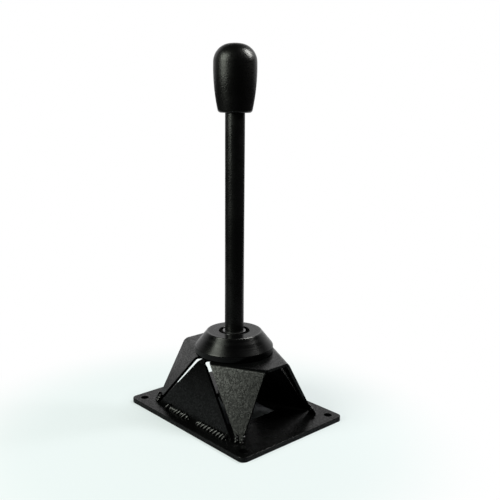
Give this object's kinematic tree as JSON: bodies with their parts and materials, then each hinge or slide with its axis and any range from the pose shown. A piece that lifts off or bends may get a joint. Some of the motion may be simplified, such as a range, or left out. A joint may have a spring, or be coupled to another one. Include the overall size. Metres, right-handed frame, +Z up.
{
  "type": "short shifter",
  "caption": "Short shifter: an upright gear lever with a pear-shaped knob, pivoting in a spherical bearing on a folded and welded sheet pedestal.",
  "frame": {"origin": "centre of the base plate's underside, below the lever's axis", "axes": "+X along the plate's long side, towards the front of the car; +Y towards the car's left; +Z up along the upright lever"},
  "size_m": [0.188, 0.1414, 0.3854],
  "materials": {
    "black_powder_coat": "fine-grained satin powder coat",
    "coated_weld": "glossier coat over the ripples",
    "black_anodised": "satin",
    "zinc_plated_steel": "satin",
    "bearing_steel": "ground",
    "phosphated_steel": "phosphated, dark",
    "spring_steel": "oiled",
    "bright_spring_steel": "bright, nickel plated",
    "liner_bronze": "satin",
    "lever_coat": "satin",
    "bush_polymer": "matte",
    "black_knob": "satin",
    "insert_brass": "machined"
  },
  "bodies": {
    "base": {"base_plate": "black_powder_coat", "pedestal_shell": "black_powder_coat", "side_panel_welds": "coated_weld", "leg_foot_welds": "coated_weld", "bearing_housing": "black_anodised", "housing_screws": "zinc_plated_steel", "housing_screw_washers": "zinc_plated_steel", "bearing_outer_race": "phosphated_steel", "bearing_retaining_ring": "spring_steel"},
    "bearing_liner": {"bearing_liner": "liner_bronze"},
    "bearing_ball": {"bearing_ball": "bearing_steel"},
    "lever": {"lever_tube": "lever_coat", "lever_snap_ring_upper": "bright_spring_steel", "lever_snap_ring_lower": "bright_spring_steel", "lever_stud": "zinc_plated_steel", "selector_eye": "lever_coat", "selector_eye_weld": "coated_weld", "selector_eye_bush_left": "bush_polymer", "selector_eye_bush_right": "bush_polymer", "knob": "black_knob", "knob_insert": "insert_brass"}
  },
  "joints": [
    {"name": "fore_aft_tilt", "type": "hinge", "parent": "base", "child": "bearing_liner", "pos_m": [0, 0, 0.082], "axis": [0, 1, 0], "range_deg": [-9, 9]},
    {"name": "side_tilt", "type": "hinge", "parent": "bearing_liner", "child": "bearing_ball", "pos_m": [0, 0, 0.082], "axis": [1, 0, 0], "range_deg": [-6, 6]},
    {"name": "lever_spin", "type": "hinge", "parent": "bearing_ball", "child": "lever", "pos_m": [0, 0, 0.082], "axis": [0, 0, 1], "continuous": true}
  ]
}
